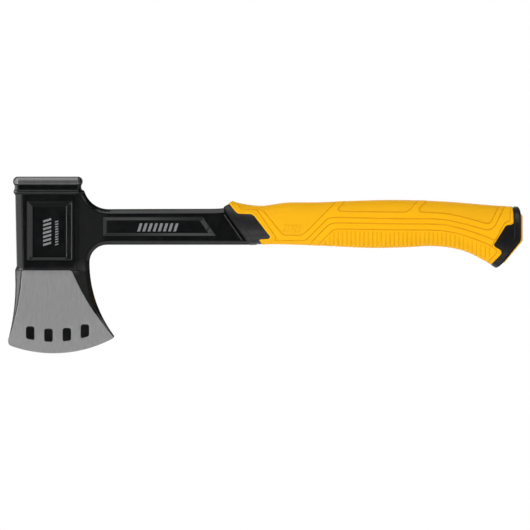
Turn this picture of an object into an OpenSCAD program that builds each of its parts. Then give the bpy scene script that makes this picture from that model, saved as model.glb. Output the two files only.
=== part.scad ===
// One-piece forged camp axe with a hammer poll and a moulded two-colour grip.
// +Z is up through the poll face, +X runs from the head to the butt, Y is the thickness.
// The origin is the centre of the whole axe's box.

/* [Overall] */
// Length from the toe of the edge to the end of the butt bumper
overall_l = 355.4; // [350:1:362]
// Height from the poll face to the lowest point of the edge
head_h = 121.9; // [120:0.5:124]

/* [Poll] */
// Length of the poll face along the handle
poll_l = 47.6; // [47:0.2:49]
// Thickness of the poll face
poll_t = 21; // [20:0.5:24]
// Height of the ground poll cap
cap_h = 5.4; // [4.5:0.1:6]
// Bevel round the cap's edges
cap_bevel = 1.6; // [0.8:0.1:2]
// Height of the waist under the cap
neck_h = 3.9; // [3:0.1:4.5]
// Height of the ridge under the waist
ridge_h = 2.4; // [1.5:0.1:3]

/* [Cheeks] */
// Length of the cheek block along the handle
cheek_l = 41.4; // [41:0.2:43]
// Thickness of the cheek block
cheek_t = 17.4; // [16.6:0.2:19]
// Depth of the bevel along the toe side of the cheek block
cheek_bevel = 2.5; // [1:0.1:3]
// Height from the ridge down to the ground bit
cheek_h = 53; // [51:0.5:55]
// Depth of the sunk frame on each cheek
panel_depth = 1.6; // [0.8:0.1:2]

/* [Blade] */
// Radius of the cutting edge
edge_r = 87; // [84:0.5:92]
// Distance along the handle from the toe to the centre of the edge's arc
edge_centre = 31.8; // [30:0.2:34]
// Half the thickness of the cutting edge
edge_half_t = 0.2; // [0.1:0.05:0.4]
// Width of the sharpened band along the edge
band_w = 11; // [8:0.5:13]
// Half angle of the sharpened band
band_angle = 11; // [9:0.5:14]
// Number of pockets on each side of the bit
pockets = 4; // [2:1:4]
// Height of a pocket
pocket_h = 9; // [7:0.5:10]
// Width of a pocket
pocket_w = 5.8; // [4:0.2:7]

/* [Shank] */
// Height of the shank
shank_h = 24.6; // [24:0.2:25.4]
// Thickness of the shank
shank_t = 9.4; // [8.4:0.2:11]
// Drop from the poll face to the top of the shank
shank_drop = 22.4; // [22:0.2:23]
// Height of the bevel along the shank's top and bottom
shank_bevel = 3.4; // [2:0.2:4]
// Depth of the sunk panel on each side of the shank
shank_panel_depth = 1.4; // [0.5:0.1:1.6]
// Slant of the shoulder where the shank meets the collar, from vertical
shoulder_slant = 35; // [34:0.5:36]

/* [Tang] */
// Height of the tang at the shoulder
tang_h = 17; // [15:0.5:18]
// Height of the tang at its end
tang_end_h = 14; // [12:0.5:15]
// Thickness of the tang
tang_t = 7; // [5:0.5:8]
// Length of the tang behind the shoulder
tang_l = 165; // [150:5:175]
// Diameter of the lock holes through the tang
lock_d = 7; // [5:0.5:8]
// Number of lock holes
lock_count = 3; // [2:1:4]

/* [Grip] */
// Thickness of the soft cover over the core
cover_t = 3.6; // [3:0.2:4.2]
// Width of the bumper strip on the butt
bumper_w = 11; // [8:0.5:14]
// Height of the bumper above the butt's end face
bumper_proud = 1.2; // [1:0.1:1.8]
// Depth of the bumper's groove in the butt cap
bumper_seat = 2.4; // [2:0.1:3]

/* [Hidden] */
$fn = 64;
far = 60;                               // half length of a cutter that passes right through
lap = 1;                                // how far joined parts of the forging run into each other

// Head: levels down from the poll face, and places along the handle from the toe.
toe_x = -overall_l / 2;
poll_z = head_h / 2;
cap_z = poll_z - cap_h;
neck_z = cap_z - neck_h;
ridge_z = neck_z - ridge_h;
bit_z = ridge_z - cheek_h;
poll_x = toe_x + 4.2 + poll_l / 2;      // middle of the poll face
block_x = toe_x + 6.2;                  // toe side of the cheek block
block_end_x = block_x + cheek_l;
edge_x = toe_x + edge_centre;
edge_z = edge_r - poll_z;
cheek_bevel_l = 4.4;                    // length of the toe bevel along the handle
web_step = 1.3;                         // half thickness lost just behind the cheek block
web_step_l = 0.5;
neck_set_back = 0.4;                    // the waist is this much nearer the toe than the cap,
neck_in = 2;                            // shorter than it by this much,
neck_thin = 0.4;                        // and thinner than the cheeks by this much
neck_bevel = 0.5;
ridge_proud = 2;                        // how much thicker the ridge is than the cheeks
bit_half_t = 8;                         // half thickness at the top of the bit
bit_slope = 0.12;                       // half thickness lost for each millimetre down the bit

// Curves of the head's side view.
shank_top = poll_z - shank_drop;
shank_bottom = shank_top - shank_h;
poll_fillet = 17.3;
poll_fillet_x = toe_x + 69.7;
beard_x = toe_x + 56.6;                 // narrowest place under the shank
beard_fillet = 12;
beard_z = shank_bottom - beard_fillet;
beard_r = 84;
root_x = beard_x + beard_fillet;        // where the shank's straight underside starts
web_end_x = root_x + 3;                 // where the head's web has thinned to the shank
toe_r = 150;
toe_z = -13;
toe_waist_x = toe_x + 5.5;
rim_half_t = 2.8;                       // half thickness of the bevelled rim at the outline
rim_slope = 0.7;
toe_half_t = 2.2;
toe_slope = 1.16;

// Sunk frame on a cheek: its distance from the block's sides, and the width of its sloping sides.
frame_toe = 7.1;
frame_handle = 2.7;
frame_low = 6.6;
frame_high = 4.9;
frame_slope = 4.6;
frame_slope_low = 2.9;

// Sunk panel on the shank: where it starts and ends along the handle, and its sloping sides.
panel_start_x = toe_x + 65.7;
panel_end_x = toe_x + 135.4;
panel_low = 6;
panel_high = 5.4;
panel_slope = 3;
panel_slope_low = 1.9;
shank_bevel_slope = 0.55;               // half thickness lost for each millimetre of the bevel's height

// Pockets: a row of blind slots that follows the edge.
pocket_foot_r = edge_r - 7.9;
pocket_angle = 2.1;                     // middle of the row, from straight down
pocket_step = 9.2;
pocket_floor = 1;                       // half thickness left between two pockets
pocket_corner = 1.4;

// Shoulder: the slanted plane that the collar butts against.
shoulder_x = toe_x + 149.4;             // where that plane meets the top of the shank
slant = tan(shoulder_slant);
tang_mid = (shank_top + shank_bottom) / 2;
tang_end_x = shoulder_x + tang_l;
tang_lead = 2;                          // how far the tang starts inside the shank
lock_first = 50;                        // from the shoulder to the first lock hole
lock_last = 20;                         // from the last lock hole to the tang's end
core_gap = 7;                           // collar's thickness in front of the core
butt_gap = 7;                           // butt cap's thickness behind the core

// Grip outline: height of the top and of the underside, and half the thickness, along the handle.
end_x = overall_l / 2;
butt_x = end_x - bumper_proud;
top_line = [[-36, 48.5], [-23, 44.4], [-14, 42.2], [-2, 41.1], [14.6, 43.2], [38, 43.5], [62, 44.5],
            [90, 45.1], [122, 44.1], [155, 41.5], [180, 39.6]];
under_line = [[-36, 13.4], [-10, 13.7], [4, 14.3], [23, 13.9], [48, 12.8], [74, 11.7], [98, 12.2],
              [114, 13], [127, 12], [139, 9], [151, 3.1], [160, -2.2], [180, -14]];
width_line = [[-36, 10], [-10, 11], [20, 11.8], [60, 12.8], [95, 13.4], [125, 12.8], [150, 12.4], [180, 12.2]];
grip_start = -34;
section_power = 2.5;                    // 2 is an ellipse, more is squarer
section_sides = 32;
station_step = 5.5;

// Side views of the grip's front and butt, and of the black parts' windows in the soft cover.
front_peak = [-23, 44.4];
collar_window = [[-60, 49.7], [-31, 49.7], [-19, 35.5], [-9.2, 35.2], [-7.6, 34.1], [2.7, 20.5], [3, 19.4],
                 [2, 18], [-3.4, 17.5], [-3.2, 16], [-1, 13], [-1, 5], [-60, 5]];
butt_window = [[170.5, 50], [171, 35.9], [171.3, 29.4], [170.1, 27.9], [166.3, 27.5], [157.9, 14.4], [158.2, 13],
               [162.2, 10.4], [163, 8.8], [162.6, 7.6], [156, 0.6], [148, -8], [200, -8], [200, 50]];
butt_turn = [butt_x, 17.4];             // where the butt's end face turns towards the heel of the grip
butt_heel = [164, 2.2];
butt_outline = [[-60, 60], [butt_x - 1.8, 60], [butt_x - 1.4, 40.4], [butt_x, 36.4], butt_turn, butt_heel,
                [160.8, -1.4], [150, -14], [-60, -14]];
core_outline = [[-60, 60], [butt_x - butt_gap, 60], [butt_x - butt_gap, 20], [butt_heel[0] - butt_gap, 6],
                [140, -4], [-60, -4]];

// Cubic curve through a row of [place, value] points.
function span(row, x, i = 0) = i >= len(row) - 2 || x < row[i + 1][0] ? i : span(row, x, i + 1);
function grade(row, i) =
    let (a = max(i - 1, 0), b = min(i + 1, len(row) - 1)) (row[b][1] - row[a][1]) / (row[b][0] - row[a][0]);
function along(row, x) =
    let (i = span(row, x), w = row[i + 1][0] - row[i][0], t = (x - row[i][0]) / w)
    (2 * t ^ 3 - 3 * t ^ 2 + 1) * row[i][1] + (t ^ 3 - 2 * t ^ 2 + t) * w * grade(row, i)
    + (3 * t ^ 2 - 2 * t ^ 3) * row[i + 1][1] + (t ^ 3 - t ^ 2) * w * grade(row, i + 1);

// One cross section of the grip, drawn in by inset on every side.
function squared(v) = sign(v) * abs(v) ^ (2 / section_power);
function section(x, inset) =
    let (top = along(top_line, x) - inset, under = along(under_line, x) + inset, half = along(width_line, x) - inset)
    [for (i = [0 : section_sides - 1]) let (a = 360 * (i + 0.5) / section_sides)
        [x, half * squared(cos(a)), (top + under) / 2 + (top - under) / 2 * squared(sin(a))]];

// A side view outline carried through the thickness.
module through(outline, half = far) {
    rotate([90, 0, 0]) linear_extrude(2 * half, center = true) polygon(outline);
}

// A front view outline of [y, z] points carried from one place along the handle to another.
module lengthwise(outline, from, to) {
    translate([from, 0, 0]) rotate([90, 0, 90]) linear_extrude(to - from) polygon(outline);
}

module both_sides() {
    children();
    mirror([0, 1, 0]) children();
}

function bevelled(l, h, bevel) = [[-l, h - bevel], [bevel - l, h], [l - bevel, h], [l, h - bevel],
                                  [l, bevel - h], [l - bevel, -h], [bevel - l, -h], [-l, bevel - h]];

module bevelled_block(x, top, bottom, length, thickness, bevel) {
    h = (top - bottom) / 2;
    translate([x, 0, (top + bottom) / 2]) intersection() {
        through(bevelled(length / 2, h, bevel), thickness / 2);
        lengthwise(bevelled(thickness / 2, h, bevel), -length / 2, length / 2);
    }
}

// Cutter for a concave outline: round in the side view, and flaring so that it leaves a bevelled rim.
module rim_cutter(x, z, r, half_t, slope) {
    reach = far / 2;
    flare = r + (reach - half_t) / slope;
    translate([x, 0, z]) rotate([90, 0, 0]) rotate_extrude($fn = 128)
        polygon([[0, -reach], [flare, -reach], [r, -half_t], [r, half_t], [flare, reach], [0, reach]]);
}

// Cap, waist and ridge of the hammer poll.
module poll() {
    bevelled_block(poll_x, poll_z, cap_z, poll_l, poll_t, cap_bevel);
    bevelled_block(poll_x - neck_set_back, cap_z + lap, neck_z - lap, poll_l - neck_in, cheek_t - neck_thin,
                   neck_bevel);
    bevelled_block(poll_x, neck_z, ridge_z, poll_l, cheek_t + ridge_proud, ridge_h / 3);
}

// Sunk frame on a cheek: sloping sides down to a flat floor.
module cheek_panel() {
    l = cheek_l - frame_toe - frame_handle;
    h = cheek_h - frame_low - frame_high;
    translate([block_x + frame_toe, -cheek_t / 2, bit_z + frame_low]) hull() {
        translate([0, -1, 0]) cube([l, 1, h]);
        translate([frame_slope, 0, frame_slope_low])
            cube([l - 2 * frame_slope, panel_depth, h - frame_slope_low - frame_slope]);
    }
}

// Cheek block, and the web that tapers from it into the shank.
module cheeks() {
    half = [[block_x, cheek_t / 2 - cheek_bevel], [block_x + cheek_bevel_l, cheek_t / 2], [block_end_x, cheek_t / 2],
            [block_end_x + web_step_l, cheek_t / 2 - web_step], [web_end_x, shank_t / 2],
            [web_end_x + lap, shank_t / 2]];
    top = ridge_z + lap;
    difference() {
        intersection() {
            translate([0, 0, bit_z]) linear_extrude(top - bit_z)
                polygon(concat(half, [for (i = [len(half) - 1 : -1 : 0]) [half[i][0], -half[i][1]]]));
            through([[block_x, top], [poll_fillet_x - poll_fillet + lap, top], [web_end_x + lap, shank_top],
                     [web_end_x + lap, shank_bottom], [root_x, shank_bottom], [root_x, beard_z],
                     [beard_x, beard_z], [beard_x, bit_z], [block_x, bit_z]]);
        }
        rim_cutter(poll_fillet_x, shank_top + poll_fillet, poll_fillet, rim_half_t, rim_slope);
        rim_cutter(root_x, beard_z, beard_fillet, rim_half_t, rim_slope);
        both_sides() cheek_panel();
    }
}

// Blind slot in one side of the bit, with its foot parallel to the edge.
module pocket(angle) {
    w = pocket_w / 2;
    foot = w * tan(angle);
    translate([edge_x + pocket_foot_r * sin(angle), -far - pocket_floor, edge_z - pocket_foot_r * cos(angle)])
        through([[-w, -foot], [w, foot], [w, pocket_h - pocket_corner], [w - pocket_corner, pocket_h],
                 [pocket_corner - w, pocket_h], [-w, pocket_h - pocket_corner]]);
}

// Flat ground wedge with a sharpened band that follows the arc of the edge.
module blade() {
    reach = bit_half_t + lap;
    top = bit_z + lap;
    shoulder_r = edge_r - (reach - edge_half_t) / tan(band_angle);
    foot_t = bit_half_t - bit_slope * (bit_z + poll_z);
    difference() {
        intersection() {
            lengthwise([[-bit_half_t, top], [-bit_half_t, bit_z], [-foot_t, -poll_z], [foot_t, -poll_z],
                        [bit_half_t, bit_z], [bit_half_t, top]], toe_x, root_x + 6);
            translate([edge_x, 0, edge_z]) rotate([90, 0, 0]) rotate_extrude($fn = 128)
                polygon([[0, -reach], [shoulder_r, -reach], [edge_r, -edge_half_t], [edge_r, edge_half_t],
                         [shoulder_r, reach], [0, reach]]);
        }
        rim_cutter(toe_waist_x - toe_r, toe_z, toe_r, toe_half_t, toe_slope);
        rim_cutter(beard_x + beard_r, beard_z, beard_r, rim_half_t, rim_slope);
        both_sides() for (i = [0 : pockets - 1])
            pocket(pocket_angle + (i - (pockets - 1) / 2) * pocket_step);
    }
}

// Outline of the shank's sunk panel, with its far end parallel to the shoulder.
function panel_outline(start, end, bottom, top) =
    [[start, bottom], [end + (top - bottom) * slant, bottom], [end, top], [start, top]];

// Sunk panel on a side of the shank: sloping sides down to a flat floor.
module shank_panel() {
    bottom = shank_bottom + panel_low;
    top = shank_top - panel_high;
    translate([0, -shank_t / 2, 0]) hull() {
        translate([0, -lap, 0]) through(panel_outline(panel_start_x, panel_end_x, bottom, top), lap);
        translate([0, shank_panel_depth / 2, 0])
            through(panel_outline(panel_start_x + panel_slope, panel_end_x - panel_slope, bottom + panel_slope_low,
                                  top - panel_slope), shank_panel_depth / 2);
    }
}

// Shank bevelled along its top and bottom, cut off at the shoulder.
module shank() {
    half_h = shank_h / 2;
    bevel_t = shank_t / 2 - shank_bevel * shank_bevel_slope;
    intersection() {
        translate([0, 0, tang_mid])
            lengthwise([[-bevel_t, half_h], [bevel_t, half_h], [shank_t / 2, half_h - shank_bevel],
                        [shank_t / 2, shank_bevel - half_h], [bevel_t, -half_h], [-bevel_t, -half_h],
                        [-shank_t / 2, shank_bevel - half_h], [-shank_t / 2, half_h - shank_bevel]],
                       root_x, shoulder_x + shank_h);
        through([[root_x - lap, far], [shoulder_x - (far - shank_top) * slant, far],
                 [shoulder_x + shank_top * slant, 0], [root_x - lap, 0]]);
    }
}

// Tang, from just inside the shank to its end in the core.
module tang() {
    top = tang_mid + tang_h / 2;
    bottom = tang_mid - tang_h / 2;
    rise = (tang_h - tang_end_h) / 2;
    lead = shoulder_x - tang_lead;
    lock_step = (tang_l - lock_first - lock_last) / (lock_count - 1);
    difference() {
        through([[lead + (shank_top - top) * slant, top], [tang_end_x, top - rise], [tang_end_x, bottom + rise],
                 [lead + (shank_top - bottom) * slant, bottom]], tang_t / 2);
        for (i = [0 : lock_count - 1])
            translate([shoulder_x + lock_first + i * lock_step, 0, tang_mid]) rotate([90, 0, 0])
                cylinder(d = lock_d, h = 2 * far, center = true);
    }
}

// Lofted body that the collar, the cover and the butt are cut from.
module grip_form(inset) {
    stations = [for (x = [grip_start : station_step : 179]) x];
    last = len(stations) - 1;
    n = section_sides;
    polyhedron(
        points = [for (x = stations) each section(x, inset)],
        faces = concat(
            [[for (i = [0 : n - 1]) i]],
            [for (s = [0 : last - 1], i = [0 : n - 1]) let (j = (i + 1) % n)
                each [[s * n + i, (s + 1) * n + j, s * n + j], [s * n + i, (s + 1) * n + i, (s + 1) * n + j]]],
            [[for (i = [n - 1 : -1 : 0]) last * n + i]]));
}

module grip_solid() {
    front = shoulder_x - (front_peak[1] - 5 - shank_top) * slant;
    intersection() {
        grip_form(0);
        through([[front, front_peak[1] - 5], front_peak, [front_peak[0] + 20, 60], [300, 60], [300, -60],
                 [shoulder_x + (shank_top + 60) * slant, -60]]);
        through(butt_outline);
    }
}

module core_solid() {
    x = shoulder_x + core_gap;
    intersection() {
        grip_form(cover_t);
        through([[x - (60 - shank_top) * slant, 60], [300, 60], [300, -60], [x + (shank_top + 60) * slant, -60]]);
        through(core_outline);
    }
}

module bumper_solid() {
    seat_x = butt_x - bumper_seat;
    through([[seat_x, 35], [butt_x, 36.8], [end_x, 34.6], [end_x, 17.3], [butt_heel[0] + 0.9, butt_heel[1] - 0.7],
             [butt_heel[0] - 1.9, butt_heel[1] + 1.5], [seat_x, 18.3]], bumper_w / 2);
}

module axe_forging() {
    color([0.13, 0.13, 0.14]) difference() {
        union() {
            poll();
            cheeks();
            blade();
            shank();
            tang();
        }
        both_sides() shank_panel();
    }
}

module grip_core() {
    color([0.2, 0.2, 0.22]) difference() {
        core_solid();
        tang();
    }
}

module front_collar() {
    color([0.16, 0.16, 0.17]) difference() {
        intersection() {
            grip_solid();
            through(collar_window);
        }
        core_solid();
        tang();
    }
}

module grip_cover() {
    color([1, 0.74, 0.06]) difference() {
        grip_solid();
        through(collar_window);
        through(butt_window);
        core_solid();
    }
}

module butt_cap() {
    color([0.14, 0.14, 0.15]) difference() {
        intersection() {
            grip_solid();
            through(butt_window);
        }
        core_solid();
        bumper_solid();
    }
}

module butt_bumper() {
    color([1, 0.74, 0.06]) bumper_solid();
}

axe_forging();
grip_core();
front_collar();
grip_cover();
butt_cap();
butt_bumper();
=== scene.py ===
"""Looks of a forged camp axe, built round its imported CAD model.

Lengths are millimetres until a mesh is made, in the CAD model's frame: +X along the handle to
the butt, +Z up through the poll face, Y across the thickness. Both sides of the axe are alike,
so every piece is drawn flat, given its relief, and mirrored about the plane y = 0. The stage is
in metres.
"""

import math

import bpy
import numpy as np
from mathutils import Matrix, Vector
from mathutils.geometry import delaunay_2d_cdt


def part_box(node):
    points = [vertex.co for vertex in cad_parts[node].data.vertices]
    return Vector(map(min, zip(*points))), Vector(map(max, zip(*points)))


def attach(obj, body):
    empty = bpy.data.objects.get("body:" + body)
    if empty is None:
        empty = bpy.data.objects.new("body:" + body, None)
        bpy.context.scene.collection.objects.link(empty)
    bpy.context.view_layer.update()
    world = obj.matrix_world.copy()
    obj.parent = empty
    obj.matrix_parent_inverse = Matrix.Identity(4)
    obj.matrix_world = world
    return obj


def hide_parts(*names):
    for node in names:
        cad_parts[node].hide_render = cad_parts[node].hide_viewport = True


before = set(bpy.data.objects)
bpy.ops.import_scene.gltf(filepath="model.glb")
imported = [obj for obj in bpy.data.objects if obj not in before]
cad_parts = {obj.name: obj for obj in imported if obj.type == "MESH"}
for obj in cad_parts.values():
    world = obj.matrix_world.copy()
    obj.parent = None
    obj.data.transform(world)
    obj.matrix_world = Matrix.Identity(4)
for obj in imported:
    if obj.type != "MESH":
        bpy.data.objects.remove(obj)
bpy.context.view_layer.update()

MM = 0.001
FORGING_LOW, FORGING_HIGH = (np.array(corner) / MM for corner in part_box("axe_forging"))
TOE_X, POLL_Z = FORGING_LOW[0], FORGING_HIGH[2]
BUTT_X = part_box("butt_bumper")[1][0] / MM


# ---------------------------------------------------------------- lines and distances

def arc(centre, radius, start, end, step=0.8):
    """Points along an arc, with its start and end given as angles in degrees."""
    count = max(3, int(abs(math.radians(end - start)) * radius / step) + 1)
    angles = np.radians(np.linspace(start, end, count))
    return [(centre[0] + radius * math.cos(a), centre[1] + radius * math.sin(a)) for a in angles]


def evenly(line, step, closed=False):
    """The same line with points at even distances along it."""
    line = np.array(line, float)
    if closed:
        line = np.vstack([line, line[:1]])
    along = np.r_[0, np.cumsum(np.hypot(*np.diff(line, axis=0).T))]
    count = max(2, int(round(along[-1] / step)) + 1)
    places = np.linspace(0, along[-1], count)
    points = np.column_stack([np.interp(places, along, line[:, i]) for i in (0, 1)])
    return points[:-1] if closed else points


def soften(loop, passes=2):
    """A closed line with its corners rounded by averaging neighbours."""
    for _ in range(passes):
        loop = (np.roll(loop, 1, 0) + 2 * loop + np.roll(loop, -1, 0)) / 4
    return loop


def unit(vector):
    length = np.linalg.norm(vector)
    return vector / length if length > 0 else vector


def rounded(corners, radius, step=0.5):
    """An open line whose inner corners are replaced by arcs of about this radius."""
    corners = [np.array(c, float) for c in corners]
    line = [corners[0]]
    for before, corner, after in zip(corners, corners[1:], corners[2:]):
        reach = min(radius, np.linalg.norm(before - corner) / 2, np.linalg.norm(after - corner) / 2)
        start, end = (corner + unit(other - corner) * reach for other in (before, after))
        for t in np.linspace(0, 1, max(3, int(reach * 1.5 / step) + 2)):
            line.append((1 - t) ** 2 * start + 2 * t * (1 - t) * corner + t ** 2 * end)
    line.append(corners[-1])
    return np.array(line)


def nearest(points, line, run=12):
    """How far each point is from an open line, and the side it is on: 1 for left, -1 for right.

    The line is looked at in runs, and a run that is further off than a point already found is skipped.
    """
    best = np.full(len(points), 1e9)
    for corner in line[::run]:
        best = np.minimum(best, ((points - corner) ** 2).sum(1) + 1e-9)
    side = np.ones(len(points))
    for first in range(0, len(line) - 1, run):
        part = line[first:first + run + 1]
        beyond = np.maximum(np.maximum(part.min(0) - points, points - part.max(0)), 0)
        near = np.nonzero((beyond ** 2).sum(1) <= best)[0]
        for start, end in zip(part[:-1], part[1:]):
            span = end - start
            length = span @ span
            if length == 0 or len(near) == 0:
                continue
            away = points[near] - start
            t = np.clip((away @ span) / length, 0, 1)
            square = ((away - t[:, None] * span) ** 2).sum(1)
            closer = square < best[near]
            found = near[closer]
            best[found] = square[closer]
            side[found] = np.where(span[0] * away[closer, 1] > span[1] * away[closer, 0], 1, -1)
    return np.sqrt(best), side


def distance(points, line):
    return nearest(points, line)[0]


def side_of(line, points):
    """Signed distance from an open line: positive on its left."""
    gap, side = nearest(points, line)
    return gap * side


def inside(points, loop):
    """True for each point inside a closed loop."""
    x, z = points[:, 0], points[:, 1]
    odd = np.zeros(len(points), bool)
    for (x0, z0), (x1, z1) in zip(loop, np.roll(loop, -1, 0)):
        if z0 != z1:
            crosses = (z0 > z) != (z1 > z)
            odd ^= crosses & (x < (x1 - x0) * (z - z0) / (z1 - z0) + x0)
    return odd


def closed(loop):
    return np.vstack([loop, loop[:1]])


def within(points, loop):
    """Signed distance from a closed loop: positive inside it."""
    return np.where(inside(points, loop), 1, -1) * distance(points, closed(loop))


# ---------------------------------------------------------------- smooth steps

def ramp(t):
    """0 below 0, 1 above 1, smooth between."""
    t = np.clip(t, 0, 1)
    return t * t * (3 - 2 * t)


def lower(a, b, blend):
    """The lower of two surfaces, rounded where they meet."""
    t = np.clip(0.5 + 0.5 * (b - a) / blend, 0, 1)
    return b * (1 - t) + a * t - blend * t * (1 - t)


def upper(a, b, blend):
    return -lower(-a, -b, blend)


def above(value, blend):
    """The value where it is positive and 0 elsewhere, rounded between."""
    return upper(value, 0 * value, blend)


def edge_round(gap, radius):
    """How far a rounded edge falls at this distance in from it."""
    gap = np.clip(gap, 0.02, radius)
    return radius - np.sqrt(np.maximum(radius ** 2 - (radius - gap) ** 2, 0))


def cubic(row, x):
    """Cubic curve through a row of (place, value) points."""
    row = np.array(row, float)
    places, values = row[:, 0], row[:, 1]
    ahead = np.minimum(np.arange(len(row)) + 1, len(row) - 1)
    behind = np.maximum(np.arange(len(row)) - 1, 0)
    grade = (values[ahead] - values[behind]) / (places[ahead] - places[behind])
    i = np.clip(np.searchsorted(places, x, side="right") - 1, 0, len(row) - 2)
    width = places[i + 1] - places[i]
    t = (x - places[i]) / width
    return ((2 * t ** 3 - 3 * t ** 2 + 1) * values[i] + (t ** 3 - 2 * t ** 2 + t) * width * grade[i]
            + (3 * t ** 2 - 2 * t ** 3) * values[i + 1] + (t ** 3 - t ** 2) * width * grade[i + 1])


# ---------------------------------------------------------------- flat meshing

FINE_ROWS = (-0.5, -0.22, 0, 0.22, 0.5)      # where points lie beside a line that bends sharply


def rows_along(line, offsets, step):
    """Rows of points on both sides of a line, and the edges along each row."""
    line = evenly(line, step)
    heading = np.gradient(line, axis=0)
    heading /= np.linalg.norm(heading, axis=1)[:, None]
    across = np.column_stack([-heading[:, 1], heading[:, 0]])
    for offset in offsets:
        row = line + across * offset
        kept = distance(row, line) > abs(offset) - 0.03
        yield row, kept


def triangulate(outline, guides, spacing, edge_rows, step=0.8):
    """Points and triangles over a flat region, with rows of points beside its rim and each guide line."""
    count = len(outline)
    points, edges = list(outline), [(i, (i + 1) % count) for i in range(count)]
    rim = closed(outline)

    def allowed(row, gap):
        return inside(row, outline) & (distance(row, rim) > gap)

    lines = [(rim, edge_rows)] + guides
    for line, offsets in lines:
        for row, kept in rows_along(line, offsets, step):
            kept &= allowed(row, 0.06)
            numbers = np.where(kept, np.cumsum(kept) - 1 + len(points), -1)
            points += list(row[kept])
            edges += [(a, b) for a, b in zip(numbers[:-1], numbers[1:]) if a >= 0 and b >= 0]
    low, high = outline.min(0), outline.max(0)
    xs, zs = (np.arange(low[i] + spacing / 2, high[i], spacing) for i in (0, 1))
    grid = np.array([(x + (spacing / 2 if k % 2 else 0), z) for k, z in enumerate(zs) for x in xs])
    free = allowed(grid, spacing * 0.5)
    for line, _ in lines:
        free &= distance(grid, line) > spacing * 0.55
    points += list(grid[free])
    flat, _, faces, *_ = delaunay_2d_cdt([Vector(p) for p in points], edges, [], 0, 1e-4)
    flat = np.array([tuple(v) for v in flat])
    faces = np.array([f for f in faces if len(f) == 3])
    faces = faces[inside(flat[faces].mean(1), outline)]
    first, second = (flat[faces[:, i]] - flat[faces[:, 0]] for i in (1, 2))
    turn = first[:, 0] * second[:, 1] - first[:, 1] * second[:, 0]
    faces[turn < 0] = faces[turn < 0][:, ::-1]
    return flat, faces[np.abs(turn) > 1e-7]


# ---------------------------------------------------------------- mirrored solids

def put(name, data):
    """A new object in the scene."""
    made = bpy.data.objects.new(name, data)
    bpy.context.scene.collection.objects.link(made)
    return made


def slopes(place, flat, nudge=0.04):
    """Outward normals of the front surface, from how it leans along both flat directions."""
    ways = [place(flat + np.array(way)) - place(flat - np.array(way)) for way in ((nudge, 0), (0, nudge))]
    normals = np.cross(*ways)
    return normals / np.linalg.norm(normals, axis=1)[:, None]


def open_edges(faces):
    """Edges that only one triangle uses, in that triangle's direction."""
    pairs = np.vstack([faces[:, [0, 1]], faces[:, [1, 2]], faces[:, [2, 0]]])
    _, first, count = np.unique(np.sort(pairs, 1), axis=0, return_index=True, return_counts=True)
    return pairs[first[count == 1]]


def mirrored(name, flat, faces, place, inner=None, is_wall=None, zones=None, wall_zone=None, marks=None):
    """A closed mesh from a flat sheet: its front, its mirror image, and what joins the two.

    place puts flat points on the front surface, and inner puts them on the inside of a hollow
    piece. An open edge is bridged to the mirror image where is_wall says so, or else to the inside.
    zones and wall_zone number the material at flat points, and marks are attributes of the surface.
    """
    corners, polygons, normals, zone_list = [], [], [], []
    front_zone = np.zeros(len(faces), int) if zones is None else zones(flat[faces].mean(1))

    def layer(points):
        """Adds a surface and its mirror image, and returns each point's number in both."""
        first = len(corners)
        corners.extend(points)
        front = np.arange(first, first + len(points))
        back = front.copy()
        apart = np.abs(points[:, 1]) > 1e-4
        back[apart] = len(corners) + np.arange(apart.sum())
        corners.extend(points[apart] * (1, -1, 1))
        return front, back

    def surface(front, back, turn, facing):
        for numbers, flip in ((front, False), (back, True)):
            tilt = turn * (1, -1, 1) if flip else turn
            for face, zone in zip(faces, front_zone):
                order = face[::-1] if flip != facing else face
                polygons.append(tuple(int(i) for i in numbers[order]))
                normals.extend(tilt[order])
                zone_list.append(int(zone))

    def bridge(pairs, one, other):
        """Quads from these edges of one surface to the same edges of the other."""
        return [(int(one[b]), int(one[a]), int(other[a]), int(other[b])) for a, b in pairs]

    def strip(quads, soft, numbers):
        """Adds a row of quads: soft rows are shaded round their corners, others flat."""
        points = np.array(corners)
        facing = {}
        tilts = []
        for quad in quads:
            a, b, c, d = (points[i] for i in quad)
            tilts.append(unit(np.cross(c - a, d - b)))
            for corner in quad:
                facing.setdefault(corner, []).append(tilts[-1])
        for quad, tilt, number in zip(quads, tilts, numbers):
            kept = list(dict.fromkeys(quad))
            if len(kept) < 3:
                continue
            polygons.append(tuple(kept))
            zone_list.append(int(number))
            for corner in kept:
                near = [other for other in facing[corner] if other @ tilt > 0.7]
                normals.append(unit(sum(near)) if soft and near else tilt)

    front, back = layer(place(flat))
    turn = slopes(place, flat)
    surface(front, back, turn, False)
    edges = open_edges(faces)
    middle = flat[edges].mean(1)
    wall = np.ones(len(edges), bool) if is_wall is None else is_wall(middle)
    seam = ~wall & (back[edges] != front[edges]).any(1)
    plain = np.zeros(2 * len(edges), int)
    strip(bridge(edges[wall], front, back), True, plain if wall_zone is None else wall_zone(middle[wall]))
    if inner is not None:
        in_front, in_back = layer(inner(flat))
        surface(in_front, in_back, -slopes(inner, flat), True)
        strip(bridge(edges[wall], in_back, in_front), False, plain)
        rims = bridge(edges[seam], front, in_front) + bridge(edges[seam][:, ::-1], back, in_back)
        strip(rims, False, plain)
    mesh = bpy.data.meshes.new(name)
    mesh.from_pydata([tuple(c) for c in np.array(corners) * MM], [], polygons)
    mesh.polygons.foreach_set("use_smooth", [True] * len(polygons))
    mesh.polygons.foreach_set("material_index", zone_list)
    for label, values in (marks or {}).items():
        whole = np.zeros(len(corners))
        whole[front] = values
        whole[back] = values
        mesh.attributes.new(label, "FLOAT", "POINT").data.foreach_set("value", whole)
    mesh.normals_split_custom_set([tuple(n) for n in normals])
    mesh.update()
    return put(name, mesh)


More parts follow.
